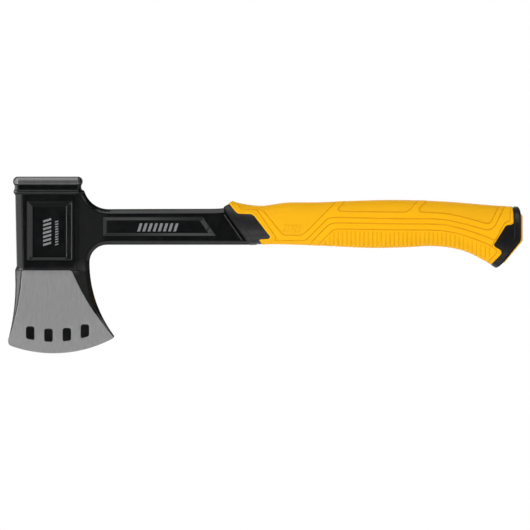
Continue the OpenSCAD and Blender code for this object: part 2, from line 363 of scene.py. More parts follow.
def finish_piece(piece, materials, nodes=()):
    """Gives a piece its materials, its body and the CAD nodes that it replaces."""
    for material in materials:
        piece.data.materials.append(material)
    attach(piece, "root")
    if nodes:
        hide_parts(*nodes)
    return piece


# ---------------------------------------------------------------- the forging

# Half thicknesses, and how deep the frames are sunk into the cheeks and the shank.
CHEEK_T, POLL_T, RIDGE_T, NECK_T, SHANK_T, TANG_T = 8.7, 10.5, 9.6, 8.5, 4.7, 3.5
CHEEK_SUNK, SHANK_SUNK = 1.6, 1.4
CAP_Z = POLL_Z - 5.4
NECK_Z = CAP_Z - 3.9
RIDGE_Z = NECK_Z - 2.4
BIT_Z = RIDGE_Z - 53
BLOCK_END = TOE_X + 47.6
EDGE_R = 87
EDGE_AT = (TOE_X + 31.8, FORGING_LOW[2] + EDGE_R)
SHANK_TOP = POLL_Z - 22.4
SHANK_LOW = SHANK_TOP - 24.6
BEARD_X, BEARD_R, BEARD_FILLET = TOE_X + 56.6, 84, 12
POLL_FILLET, POLL_FILLET_X = 17.3, TOE_X + 69.7
TOE_R, TOE_WAIST_X, TOE_WAIST_Z = 150, TOE_X + 5.5, -13
SHOULDER_X, SLANT = TOE_X + 149.4, math.tan(math.radians(35))
HIDDEN = 1.2                      # how far the shank runs on under the collar
BEARD_Z = SHANK_LOW - BEARD_FILLET
TANG_END, TANG_MID = SHOULDER_X + 165, (SHANK_TOP + SHANK_LOW) / 2
TANG_ROOT, TANG_TIP = 8.5, 7      # half the tang's height at its start and at its end


def shoulder_at(z, offset=0):
    return SHOULDER_X + (SHANK_TOP - z) * SLANT + offset


edge_line = arc(EDGE_AT, EDGE_R, -110.6, -61.9)
under_line = (arc((BEARD_X + BEARD_R, BEARD_Z), BEARD_R, 217.6, 180)
              + arc((BEARD_X + BEARD_FILLET, BEARD_Z), BEARD_FILLET, 180, 90)
              + [(shoulder_at(SHANK_LOW, HIDDEN), SHANK_LOW)])
tang_line = [(shoulder_at(TANG_MID - TANG_ROOT, HIDDEN), TANG_MID - TANG_ROOT),
             (TANG_END, TANG_MID - TANG_TIP), (TANG_END, TANG_MID + TANG_TIP),
             (shoulder_at(TANG_MID + TANG_ROOT, HIDDEN), TANG_MID + TANG_ROOT)]
over_line = ([(shoulder_at(SHANK_TOP + 0.8, HIDDEN), SHANK_TOP + 0.8), (SHOULDER_X - 4, SHANK_TOP + 0.35),
              (SHOULDER_X - 9, SHANK_TOP + 0.25)]
             + arc((POLL_FILLET_X, SHANK_TOP + POLL_FILLET), POLL_FILLET, 270, 194))
poll_line = [(TOE_X + 52.2, NECK_Z + 0.1), (TOE_X + 50.9, NECK_Z + 0.6), (TOE_X + 50.8, CAP_Z - 0.2),
             (TOE_X + 51.8, CAP_Z + 0.6), (TOE_X + 51.9, POLL_Z - 2), (TOE_X + 50.2, POLL_Z),
             (TOE_X + 5.9, POLL_Z), (TOE_X + 4, POLL_Z - 2), (TOE_X + 4, CAP_Z + 0.6),
             (TOE_X + 5.1, CAP_Z - 0.2), (TOE_X + 5.1, NECK_Z + 0.4), (TOE_X + 4.2, NECK_Z - 0.3),
             (TOE_X + 4.2, RIDGE_Z + 0.4)]
block_line = [(TOE_X + 5.5, RIDGE_Z - 0.6), (TOE_X + 6.5, BIT_Z + 2.4)]
toe_line = [(TOE_X + 5.3, BIT_Z + 0.8)] + arc((TOE_WAIST_X - TOE_R, TOE_WAIST_Z), TOE_R, 0, -15.3)
forging_outline = soften(evenly(edge_line + under_line + tang_line + over_line + poll_line + block_line
                                + toe_line, 0.7, closed=True))
edge_line, under_line, over_line, block_line, toe_line = (
    np.array(line) for line in (edge_line, under_line, over_line, block_line, toe_line))


def wedge_half(z):
    return 8 - 0.12 * (BIT_Z - z)


def bit_end(z):
    """Where the ground bit ends on the handle side."""
    fall = BIT_Z - z
    return BLOCK_END - 3 + 0.4 * fall + 0.0047 * fall ** 2


toe_chamfer = (2.2, 1.16)        # half thickness at the outline, and how fast it grows inwards
block_chamfer = (6.2, 0.57)
over_rim = (0.58, 3.3)           # slope and width of the bevelled rims over and under the shank
under_rim = (0.72, 2.6)


def crease(line, chamfer, base):
    """Where a chamfer along an outline meets the surface beside it, on the outline's left."""
    line = evenly(line, 0.8)
    heading = np.gradient(line, axis=0)
    across = np.column_stack([-heading[:, 1], heading[:, 0]]) / np.linalg.norm(heading, axis=1)[:, None]
    reach = np.full(len(line), 2.0)
    for _ in range(8):
        reach = np.clip((base((line + across * reach[:, None])[:, 1]) - chamfer[0]) / chamfer[1], 0.2, 9)
    return line + across * reach[:, None]


bit_left = crease(toe_line, toe_chamfer, wedge_half)
bit_left = bit_left[bit_left[:, 1] < BIT_Z]
HEEL_Z = -49.8                    # where the ground bit's end meets the edge
bit_right = np.array([(bit_end(z), z) for z in np.linspace(BIT_Z - 1.2, HEEL_Z, 60)])
bit_loop = np.vstack([bit_left, [(TOE_X - 3, -56), (EDGE_AT[0], -70), (bit_end(HEEL_Z) + 4, -51)],
                      bit_right[::-1], [(bit_end(BIT_Z) - 1, BIT_Z), (bit_left[0][0] + 0.6, BIT_Z)]])


def frame_rect(outer, margins, lean=0):
    """Corners of a sunk frame's rim and floor. margins are its left, low, right and high slopes."""
    (x0, z0), (x1, z1) = outer
    left, low, right, high = margins
    rim = np.array([(x0, z0), (x1 + lean * (z1 - z0), z0), (x1, z1), (x0, z1)])
    shift = lean * (z1 - z0 - low - high)
    floor = np.array([(x0 + left, z0 + low), (x1 - right + shift, z0 + low),
                      (x1 - right, z1 - high), (x0 + left, z1 - high)])
    return rim, floor


def sunk(points, rim, floor, stepped=None, curved=()):
    """0 on a sunk frame's rim and outside it, 1 on its floor. Sides may be stepped or S-curved."""
    depth = np.full(len(points), 9.0)
    for i in range(4):
        start, end = rim[i], rim[(i + 1) % 4]
        along = unit(end - start)
        across = np.array([-along[1], along[0]])
        fall = ((points - start) @ across) / ((floor[i] - start) @ across)
        if i == stepped:
            fall = (fall.clip(None, 0) + np.interp(fall, (0, 0.17, 0.83, 1), (0, 0.43, 0.57, 1))
                    + (fall - 1).clip(0, None))
        if i in curved:
            fall = fall.clip(None, 0) + ramp(fall) + (fall - 1).clip(0, None)
        depth = lower(depth, fall, 0.08)
    return lower(upper(depth, 0 * depth, 0.12), 1 + 0 * depth, 0.12)


cheek_frame = frame_rect(((TOE_X + 13.2, BIT_Z + 6.6), (TOE_X + 44.9, RIDGE_Z - 4.9)), (4.6, 2.9, 4.5, 4.6))
shank_frame = frame_rect(((TOE_X + 65.7, SHANK_LOW + 6), (TOE_X + 135.4, SHANK_TOP - 5.4)),
                         (3, 2.3, 3.4, 2.6), lean=SLANT)


POCKET_RISE, POCKET_MIDDLE, POCKET_STEP = 7.9, 2.1, 9.2     # millimetres from the edge, and degrees round it


def pocket_loop(angle):
    """Outline of a blind pocket in the bit, with its foot parallel to the edge."""
    foot_r, half_w, height, corner = EDGE_R - POCKET_RISE, 3, 9.2, 2
    turn = math.radians(angle)
    foot = np.array((EDGE_AT[0] + foot_r * math.sin(turn), EDGE_AT[1] - foot_r * math.cos(turn)))
    rise = half_w * math.tan(turn)
    corners = [(0, 0), (half_w, rise), (half_w, height), (-half_w, height), (-half_w, -rise), (0, 0)]
    return rounded([foot + c for c in corners], corner, 0.4)[:-1]


pockets = [pocket_loop(POCKET_MIDDLE + POCKET_STEP * (i - 1.5)) for i in range(4)]
bead_line = np.array([(shoulder_at(z, -1.9), z) for z in (SHANK_TOP - 4.2, SHANK_LOW + 4.2)])


def body_half(points):
    """Half thickness of the cheeks, web, shank and tang before their edges are bevelled."""
    x, z = points.T
    web = CHEEK_T - 1.3 * ramp((x - BLOCK_END) / 0.5) - 0.125 * above(x - BLOCK_END - 1, 0.8)
    web = upper(web, SHANK_T + 0 * x, 0.6)
    low_web = wedge_half(z) - 0.45 - 0.2 * above(x - bit_end(z), 0.3)
    low = np.maximum(ramp((6 - z) / 16) * ramp((x - BLOCK_END + 0.5) / 2), ramp((BIT_Z + 0.4 - z) / 0.8))
    half = web + (low_web - web) * low * ramp((BEARD_X + 12 - x) / 10)
    near_head = ramp((POLL_FILLET_X + 4 - x) / 6)
    for line, (slope, width) in ((over_line, over_rim), (under_line, under_rim)):
        gap = distance(points, line)
        flat_bevel, curved_bevel = above(width - gap, 0.35), width * ramp(1 - gap / width)
        half = half - slope * (flat_bevel + (curved_bevel - flat_bevel) * near_head)
    return np.where(x > shoulder_at(z, 0.6), TANG_T, half)


def poll_half(points, half):
    """The waist, ridge and cap laid over the top of the cheeks."""
    x, z = points.T
    middle = (NECK_Z + RIDGE_Z) / 2
    ridge = RIDGE_T - 0.35 * ((z - middle) / 1.1) ** 2
    from_end = np.minimum(x - TOE_X - 5.6, TOE_X + 50.5 - x)
    cap = POLL_T - 1.35 * (above(z - CAP_Z - 1.6, 0.3) / 3.8) ** 2 - 1.1 * above(1.7 - from_end, 0.3)
    neck = NECK_T - 0.9 * above(1.6 - from_end, 0.4)
    ridge -= 0.9 * above(1.6 - from_end, 0.4)
    half = half + (ridge - half) * ramp((z - RIDGE_Z) / 0.5 + 0.5)
    half = half + (neck - half) * ramp((z - NECK_Z) / 0.5 + 0.5)
    return half + (cap - half) * ramp((z - CAP_Z) / 0.4 + 0.5)


def forging_half(points):
    """Half thickness of the whole forging."""
    x, z = points.T
    edge_gap = EDGE_R - np.hypot(x - EDGE_AT[0], z - EDGE_AT[1])
    band = np.where(z < 0, 0.2 + 0.2 * edge_gap, 99)       # the cutting edge's own narrow bevel
    toe, block = distance(points, toe_line), distance(points, block_line)
    side = ramp((z - BIT_Z - 0.6) / 1.4)
    chamfer = ((toe_chamfer[0] + toe_chamfer[1] * toe) * (1 - side)
               + (block_chamfer[0] + block_chamfer[1] * block) * side)
    half = lower(body_half(points), chamfer, 0.4)
    ground = lower(wedge_half(z), chamfer, 0.3)
    half = half + (ground - half) * ramp((within(points, bit_loop) + 0.1) / 0.5)
    half = lower(half, band, 0.3)
    for loop in pockets:
        half = half + (1.1 - half) * ramp((within(points, loop) + 0.15) / 0.7)
    half = (half - CHEEK_SUNK * sunk(points, *cheek_frame, stepped=1, curved=(0, 2))
            - SHANK_SUNK * sunk(points, *shank_frame, curved=(1,)))
    half = poll_half(points, half)
    half = half + 0.4 * np.exp(-(distance(points, bead_line) / 0.5) ** 2)
    gap = side_of(closed(forging_outline), points)
    radius = 0.08 + 0.42 * ramp((edge_gap - 1) / 4)
    return np.maximum(half - edge_round(gap, 1) * radius, 0.12)


def forging_place(points):
    return np.column_stack([points[:, 0], -forging_half(points), points[:, 1]])


def level(z, start, end):
    return np.array([(start, z), (end, z)])


def upright(x, start, end):
    return np.array([(x, start), (x, end)])


def frame_guides(rim, floor):
    lines = [closed(rim), closed(floor)] + [np.array(pair) for pair in zip(rim, floor)]
    return [(line, FINE_ROWS) for line in lines]


def frame_slopes(points, rim, floor):
    """1 on a sunk frame's upper slope, then 1 on its lower slope, and 0 elsewhere."""
    x, z = points.T
    high, low = rim[2, 1] - z, z - rim[0, 1]
    right = rim[2, 0] + (rim[1, 0] - rim[2, 0]) * high / (high + low)
    across = np.minimum(x - rim[0, 0], right - x)
    for depth, width in ((high, rim[2, 1] - floor[2, 1]), (low, floor[0, 1] - rim[0, 1])):
        yield ramp(depth / 0.3) * ramp((width - depth) / 0.3) * ramp((across - depth) / 0.6)


def shaded(points):
    """Painted shade on the coat: how far its reflection is turned down, fully along sharp lines and partly on
    the frames' slopes, where shade would fall.
    """
    x, z = points.T
    near = np.minimum(np.abs(distance(points, over_line) - over_rim[1]),
                      np.abs(distance(points, under_line) - under_rim[1]))
    for frame_lines in (cheek_frame, shank_frame):
        for loop in frame_lines:
            near = np.minimum(near, distance(points, closed(loop)))
    for height in (CAP_Z, BIT_Z):
        near = np.where(x < BLOCK_END + 4, np.minimum(near, np.abs(z - height)), near)
    cheek_roof, cheek_sill = frame_slopes(points, *cheek_frame)
    shank_roof, shank_sill = frame_slopes(points, *shank_frame)
    (start, _), (end, _) = shank_frame[0][:2]
    along = (x - start) / (end - start)
    return np.maximum.reduce([np.exp(-(near / 0.3) ** 2), 0.8 * cheek_roof, 0.6 * cheek_sill,
                              0.7 * shank_roof * ramp(1.6 * along - 0.4),
                              0.7 * shank_sill * ramp(1.1 - 1.3 * along)])


def forging():
    block_bevel = evenly(block_line, 1) + ((CHEEK_T - block_chamfer[0]) / block_chamfer[1], 0)
    over_crease, under_crease = (rim[1] + np.array(FINE_ROWS) for rim in (over_rim, under_rim))
    guides = [(level(RIDGE_Z, TOE_X, BLOCK_END + 4), (-0.4, -0.15, 0.15, 0.4, 0.9)),
              (level(NECK_Z, TOE_X, BLOCK_END + 5), (-0.9, -0.4, -0.15, 0.15, 0.4)),
              (level(CAP_Z, TOE_X, BLOCK_END + 5), (-0.5, -0.2, 0, 0.2, 0.5)),
              (level(POLL_Z - 1.9, TOE_X, BLOCK_END + 5), (-0.3, 0, 0.3)),
              (upright(TOE_X + 7.3, POLL_Z, CAP_Z), (-0.3, 0, 0.3)),
              (upright(TOE_X + 48.8, POLL_Z, CAP_Z), (-0.3, 0, 0.3)),
              (block_bevel, FINE_ROWS),
              (upright(BLOCK_END, RIDGE_Z, BIT_Z), (-0.1, 0.05, 0.2, 0.35, 0.6, 1.2)),
              (level(BIT_Z, TOE_X + 5, BLOCK_END + 1), (-0.4, -0.1, 0.15, 0.4)),
              (bit_left, FINE_ROWS), (bit_right, (-0.6, -0.4, -0.15, 0, 0.1, 0.3)),
              (bead_line, (-1, -0.6, -0.3, 0, 0.3, 0.6, 1)),
              (np.array([(shoulder_at(z, 0.6), z) for z in (SHANK_TOP, SHANK_LOW)]), (-0.02, 0.02)),
              (over_line, over_crease), (under_line, under_crease),
              (cheek_frame[0][1:3], (0.25, 0.5, 0.75, 1, 3.4, 3.65, 3.9, 4.15, 4.4)),
              (np.array(edge_line), (2, 5, 9, 11, 13))]
    guides += frame_guides(*cheek_frame) + frame_guides(*shank_frame)
    guides += [(closed(loop), (-0.15, 0.1, 0.3, 0.55, 0.8)) for loop in pockets]
    flat, faces = triangulate(forging_outline, guides, 2.2, edge_rows=(0.08, 0.25, 0.5, 1))

    # Both return a material's number: 0 coated, 1 ground steel, 2 the poll's cap, in a darker steel that
    # paints shade on it.
    def ground(middle):
        x, z = middle.T
        steel = inside(middle, bit_loop)
        for loop in pockets:
            steel &= within(middle, loop) < 0.1
        return steel + 2 * ((z > CAP_Z) & (x > TOE_X + 6.6) & (x < TOE_X + 50.2))

    def ground_wall(middle):
        x, z = middle.T
        at_edge = (np.hypot(x - EDGE_AT[0], z - EDGE_AT[1]) > EDGE_R - 1) & (z < BIT_Z)
        return at_edge + 2 * (z > POLL_Z - 0.2)

    # The shade mark is painted shade: it darkens the coat's reflection along creases and on the frames'
    # slopes.
    piece = mirrored("axe_forging_body", flat, faces, forging_place, zones=ground, wall_zone=ground_wall,
                     marks={"shade": shaded(flat)})
    materials = [coated_steel(), ground_steel(), poll_steel_painted_shade()]
    return finish_piece(piece, materials, ["axe_forging"])


# ---------------------------------------------------------------- the grip

# Rows of (place along the handle, value): heights of its top and underside, and half its width.
TOP_ROW = [(-36, 48.5), (-23, 44.4), (-14, 42.2), (-2, 41.1), (14.6, 43.2), (38, 43.5), (62, 44.5),
           (90, 45.1), (122, 44.1), (155, 41.5), (180, 39.6)]
UNDER_ROW = [(-36, 13.4), (-10, 13.7), (4, 14.3), (23, 13.9), (48, 12.8), (74, 11.7), (98, 12.2), (114, 13),
             (127, 12), (139, 9), (151, 3.1), (160, -2.2), (180, -14)]
WIDTH_ROW = [(-36, 10), (-10, 11), (20, 11.8), (60, 12.8), (95, 13.4), (125, 12.8), (150, 12.4), (180, 12.2)]
POWER = 2.5                       # each section is a superellipse: 2 is an ellipse, more is squarer
WRAP = 16                         # millimetres of flat sheet for each radian round the grip
TOP_S = WRAP * math.pi / 2        # the sheet's edge, on the grip's top or underside
SHELL = 3.5                       # thickness of the cover, the collar and the cap


def section(x, inset=0):
    top, under = cubic(TOP_ROW, x) - inset, cubic(UNDER_ROW, x) + inset
    return (top + under) / 2, (top - under) / 2, cubic(WIDTH_ROW, x) - inset


def grip_place(points, drop=0, inset=0):
    """Flat grip points laid on the grip, each sunk by its drop below the surface."""
    x, s = points.T
    middle, tall, wide = section(x, inset)
    c, n = np.cos(s / WRAP), np.sin(s / WRAP)
    reach = (np.abs(c) ** POWER + np.abs(n) ** POWER) ** (-1 / POWER)
    y, z = reach * c, reach * n
    out_y = np.sign(y) * np.abs(y) ** (POWER - 1) / wide
    out_z = np.sign(z) * np.abs(z) ** (POWER - 1) / tall
    length = np.hypot(out_y, out_z)
    return np.column_stack([x, drop * out_y / length - wide * y, middle + tall * z - drop * out_z / length])


def folded(points):
    """Points past the sheet's edge, brought back onto it."""
    x, s = points.T
    return np.column_stack([x, np.where(np.abs(s) > TOP_S, np.sign(s) * 2 * TOP_S - s, s)])


def wrapped(line, step=0.4):
    """A side view line as flat grip points, cut off where it leaves the top or the underside."""
    line = evenly(line, step)
    middle, tall, _ = section(line[:, 0])
    rise = np.clip((line[:, 1] - middle) / tall, -1, 1)
    s = WRAP * np.arctan2(rise, (1 - np.abs(rise) ** POWER) ** (1 / POWER))
    on = np.abs(rise) < 1
    on = on | np.r_[on[1:], False] | np.r_[False, on[:-1]]
    return np.column_stack([line[:, 0], s])[on]


collar_front = wrapped([(shoulder_at(10), 10), (SHOULDER_X - 0.3, SHANK_TOP + 0.4), (-28.4, 40.2),
                        (-25, 42.6)])
collar_peak = wrapped([(-25, 42.6), (-22.9, 44.8)])
collar_seam = wrapped(rounded([(-25, 42.6), (-19, 35.5), (-9.2, 35.2), (-7.5, 34), (2.3, 21.1), (3.6, 19.6),
                               (3.3, 18.3), (1.8, 17.7), (-2.9, 17.6), (-4.1, 17), (-3, 15.6), (-1, 13)],
                              1.5))
butt_seam = wrapped(rounded([(170.5, 42), (171, 35.9), (171.3, 29), (170, 27.9), (166.2, 27.6), (157.6, 13.9),
                             (158.4, 12.4), (162.1, 10.4), (163.2, 8.6), (162.2, 6.8), (154, -1.6)], 1.6))
butt_rear = wrapped(rounded([(168, 42), (175.4, 40.7), (176.5, 35.4), (176.5, 16.7), (164.3, 1.2),
                             (160.9, -2.2), (156, -3)], 2.4))


def bend(row):
    """A smooth run through a row of points."""
    return [(x, cubic(row, x)) for x in np.linspace(row[0][0], row[-1][0], 30)]


# Grooves of the soft cover, as the side view shows them.
grooves = [wrapped(rounded(line, reach)) for line, reach in (
    ([(-20, 43.7), (-16.3, 38.5), (-5.9, 38.2), (-4.8, 37.2), (6.9, 20), (7.7, 18.2), (6.2, 17.1),
      (10.5, 16.6), (28, 16.8), (43.2, 32)]
     + bend([(47, 32.9), (93.3, 31.9), (121.6, 31.5), (136.3, 28.6), (149.5, 25)])
     + [(154.4, 24), (158.2, 26.3), (160, 29.9), (164.6, 39.1), (167, 44)], 2.5),
    ([(-5.9, 38.2), (-1.4, 38), (10.9, 22.4), (13.2, 20.4), (25, 20.4), (27.7, 22), (48.3, 43), (52, 47)],
     2.5),
    ([(29, 12.4), (43.5, 27.6)]
     + bend([(47.5, 29.1), (93.3, 28.3), (121.6, 27.9), (132.3, 25.9), (145.5, 22), (158, 17.2)]), 2.5),
    ([(34, 11), (46.7, 23.9)]
     + bend([(49.5, 24.8), (93.3, 24.2), (118.8, 23.9), (129, 22.6), (142.2, 18.7), (154, 14.1)])
     + [(158.6, 11.2), (160, 8.8), (153.6, 1)], 2.5),
    ([(58, 47), (50, 38.4), (51.6, 37.1), (96.6, 36.4), (99.2, 37.8), (108, 47)], 1.5),
    ([(114, 47), (106, 38.6), (107, 36.6)]
     + bend([(112.5, 36.3), (125.7, 35.4), (138.8, 32.5), (150.8, 29.1)])
     + [(154.6, 28.4), (156.5, 31), (160.7, 39.5), (163, 44)], 1.5),
    ([(169.4, 42), (169.1, 31.5), (167.8, 29.8), (165.4, 29.5), (156.6, 13)], 1.5))]
rib_rim = grooves[3]
RIB_PITCH, RIB_FIRST, RIB_COUNT = 2.98, 38.7, 40
# Raised bars in place of the embossed mark.
hatch = [wrapped([(x, 23.3), (x + 1.5, 23.3), (x + 3.1, 27.4), (x + 1.6, 27.4), (x, 23.3)], 0.3)
         for x in np.arange(11.6, 23.8, 2.45)]


def past_rim(points):
    """How far points are below the groove round the ribs."""
    return -side_of(rib_rim, points)


def smooth_panels(points):
    """1 on the smooth panels of the cover, 0 on the bands between them."""
    first = np.vstack([grooves[0][:1], grooves[0][grooves[0][:, 0] < -5.9][1:-1], grooves[1]])
    panel = np.zeros(len(points))
    for rim, low, high in ((first, -40, 60), (grooves[4], 46, 112), (grooves[5], 102, 170)):
        x = points[:, 0]
        here = np.maximum(panel, ramp(side_of(rim, points) / 0.3 + 0.5))
        panel = np.where((x > low) & (x < high), here, panel)
    return panel


def cover_marks(points):
    """Depth, 0 to 1, of the cover's grooves and valleys, and where its smooth panels are."""
    points = folded(points)
    groove = np.zeros(len(points))
    for line in grooves:
        groove = np.maximum(groove, np.exp(-(distance(points, line) / 0.3) ** 2))
    phase = np.abs((points[:, 0] - RIB_FIRST) / RIB_PITCH % 1 - 0.5) * 2
    ribbed = ramp((past_rim(points) - 1) / 0.8) * ramp((158 - points[:, 0]) / 2)
    return groove, phase ** 4 * ribbed, smooth_panels(points)


def cover_place(points):
    groove, valley, panel = cover_marks(points)
    flat = folded(points)
    seam = np.minimum(distance(flat, collar_seam), distance(flat, butt_seam))
    lip = 0.35 * ramp((2.2 - seam) / 0.8) * ramp((TOP_S - np.abs(flat[:, 1])) / 4)
    seam = np.minimum(seam, distance(flat, collar_peak))
    raised = np.zeros(len(points))
    for bar in hatch:
        raised = np.maximum(raised, ramp(within(flat, bar[:-1]) / 0.25 + 0.5))
    drop = 0.42 * groove + 0.6 * valley + 0.16 * panel - lip - 0.32 * raised + edge_round(seam, 1) * 0.6
    return grip_place(points, drop)


def sheet_ends(left, right):
    """Closed counter-clockwise outline between two seams, each given from the top down."""
    def edge(start, end, count, s):
        return [(x, s) for x in np.linspace(start, end, count)]

    low = edge(left[-1, 0], right[-1, 0], int((right[-1, 0] - left[-1, 0]) / 0.8), -TOP_S)
    high = edge(right[0, 0], left[0, 0], int((right[0, 0] - left[0, 0]) / 0.8), TOP_S)
    outline = np.vstack([left, low[1:], right[::-1][1:]] + ([high[1:-1]] if len(high) > 2 else []))
    gaps = np.linalg.norm(outline - np.roll(outline, 1, 0), axis=1)
    return outline[gaps > 0.02]


def on_line(line):
    return lambda middle: distance(middle, line) < 0.15


def grip_cover(rubber):
    left = np.vstack([collar_peak[::-1], collar_seam[1:]])
    outline = sheet_ends(left, butt_seam)
    guides = [(line, (-0.75, -0.45, -0.25, -0.1, 0.1, 0.25, 0.45, 0.75)) for line in grooves]
    guides += [(bar, (-0.12, 0.12)) for bar in hatch]
    guides += [(rib_rim, (-1, -1.35, -1.8))]
    for i in range(RIB_COUNT):
        x = RIB_FIRST + i * RIB_PITCH
        row = np.array([(x, s) for s in np.arange(-TOP_S, TOP_S, 0.8)])
        row = row[past_rim(row) > 0.9]
        if len(row) > 3:
            guides.append((row, (-1, -0.6, -0.3, 0, 0.3, 0.6, 1)))
    flat, faces = triangulate(outline, guides, 2, edge_rows=(0.2, 0.45, 0.8, 1.4, 1.8, 2.2))
    groove, valley, panel = cover_marks(flat)
    # The groove mark, with the rib valleys at 0.4, carries the painted shade of the cover's grooves.
    piece = mirrored("grip_cover_soft", flat, faces, cover_place,
                     inner=lambda points: grip_place(points, inset=SHELL), is_wall=on_line(collar_peak),
                     marks={"groove": np.maximum(groove, 0.4 * valley), "panel": panel})
    return finish_piece(piece, [rubber], ["grip_cover"])


collar_step = wrapped([(shoulder_at(z, 4.9), z) for z in (10, 50)])
butt_step = wrapped(rounded([(171.6, 46), (172, 34.6), (172, 18.8), (161.4, 5.6), (150, -8)], 1.5))


RECESS = 0.3                      # how far a black end piece lies below the grip's outline, beside its band


def black_place(front, step, radius, proud):
    """Places a black end piece: rounded at its open end, with a band beside it that stands proud."""
    def place(points):
        flat = folded(points)
        band = ramp(side_of(step, flat) / 0.5 + 0.5)
        gap = distance(flat, front)
        rounding = edge_round(gap, radius) * radius * 0.8
        return grip_place(points, RECESS - (RECESS + proud) * band + rounding)
    return place


def black_inner(seam, shift):
    """Places a black end piece's inside, which reaches on under the cover away from the seam."""
    def place(points):
        from_seam = ramp(distance(folded(points), seam) / 5)
        moved = points + np.column_stack([shift * from_seam, 0 * from_seam])
        return grip_place(moved, inset=SHELL)
    return place


def painted_end_shade(flat, front):
    """Painted shade on a black end piece: how far its reflection is turned down along its open end, and round
    its top and underside.
    """
    end = np.exp(-((distance(flat, front) - 0.45) / 0.4) ** 2)
    return np.maximum(end, 0.6 * ramp((np.abs(flat[:, 1]) - TOP_S + 5) / 5))


def black_end(name, outline, rows, front, step, seam, radius, proud, shift):
    """A black end piece, with rows of points this far in from its edges."""
    flat, faces = triangulate(outline, [(step, (-0.4, -0.2, 0, 0.2, 0.4))], 1.6, edge_rows=rows)
    return mirrored(name, flat, faces, black_place(front, step, radius, proud),
                    inner=black_inner(seam, shift), is_wall=on_line(front),
                    marks={"shade": painted_end_shade(flat, front)})


def front_collar():
    outline = sheet_ends(collar_front[::-1], collar_seam)
    piece = black_end("front_collar_shell", outline, (0.15, 0.4, 0.8, 1.2),
                      collar_front, collar_step, collar_seam, radius=0.9, proud=0, shift=3)
    # Painted light: the same black moulding as the butt cap, given a lighter colour and more reflection where
    # the collar catches more light.
    material = black_moulding("collar_moulding_painted_lighter", 20, 28, 0.35)
    return finish_piece(piece, [material], ["front_collar"])


def butt_cap():
    outline = sheet_ends(butt_seam, butt_rear)
    piece = black_end("butt_cap_shell", outline, (0.15, 0.4, 0.8, 1.2, 1.6),
                      butt_rear, butt_step, butt_seam, radius=1.3, proud=0.35, shift=-3)
    # Painted shade: the same black moulding as the collar, given a darker colour and less reflection where
    # the butt turns from the light.
    material = black_moulding("butt_moulding_painted_darker", 3, 5, 0.29)
    return finish_piece(piece, [material], ["butt_cap"])


def butt_bumper(rubber):
    """The strip of soft moulding set into the middle of the butt."""
    corners = [(173.8, 18.3), (162.6, 3.2), (164.7, 1.1), (BUTT_X, 16.6), (BUTT_X, 33.8), (176, 36.2),
               (173.8, 34.2)]
    outline = soften(evenly(corners, 0.5, closed=True))
    half_width = 5.5

    def place(points):
        gap = side_of(closed(outline), points)
        return np.column_stack([points[:, 0], edge_round(gap, 1.3) * 1.2 - half_width, points[:, 1]])

    flat, faces = triangulate(outline, [], 1.5, edge_rows=(0.1, 0.3, 0.6, 1, 1.3))
    piece = mirrored("butt_bumper_strip", flat, faces, place, marks={"groove": np.zeros(len(flat))})
    return finish_piece(piece, [rubber], ["butt_bumper"])


def grip_core():
    """The core keeps its CAD shape, because the cover, the collar and the cap hide it."""
    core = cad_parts["grip_core"]
    core.data.materials.clear()
    core.data.materials.append(core_nylon())


# ---------------------------------------------------------------- marks

def bars(name, centres, size, lean, half, ink):
    """Slanted ink bars on both sides of a surface at this half thickness: generic stand-ins for marks."""
    corners, polygons = [], []
    for x, z in centres:
        for side in (-1, 1):
            first = len(corners)
            for depth in (half - 0.05, half + 0.03):
                for dx, dz in ((-1, -1), (1, -1), (1, 1), (-1, 1)):
                    corners.append((x + dx * size[0] / 2 + dz * lean[0], side * depth,
                                    z + dz * size[1] / 2 + dx * lean[1]))
            quads = [(4, 5, 6, 7), (3, 2, 1, 0)]
            quads += [(i, (i + 1) % 4, (i + 1) % 4 + 4, i + 4) for i in range(4)]
            polygons += [tuple(first + i for i in (quad if side < 0 else quad[::-1])) for quad in quads]
    mesh = bpy.data.meshes.new(name)
    mesh.from_pydata([tuple(c) for c in np.array(corners) * MM], [], polygons)
    return finish_piece(put(name, mesh), [ink])


def marks():
    ink, cheek, shank = mark_ink(), CHEEK_T - CHEEK_SUNK, SHANK_T - SHANK_SUNK
    row, small_row = np.arange(14.6, 31, 2.7), np.arange(14.2, 31.2, 1.75)
    bars("cheek_mark", [(-150.2, z) for z in row], (5.6, 1.5), (0, 0.8), cheek, ink)
    bars("cheek_mark_small", [(-143.6, z) for z in small_row], (2.2, 0.9), (0, 0.3), cheek, ink)
    bars("shank_mark", [(x, 25.95) for x in np.arange(-86.3, -60, 3.55)], (1.9, 5.6), (0.9, 0), shank, ink)


# ---------------------------------------------------------------- materials

def srgb(*values):
    """Linear colour from display values of 0 to 255. One value stands for a grey."""
    shown = [v / 255 for v in (values * 3)[:3]]
    return tuple(v / 12.92 if v <= 0.04045 else ((v + 0.055) / 1.055) ** 2.4 for v in shown) + (1,)


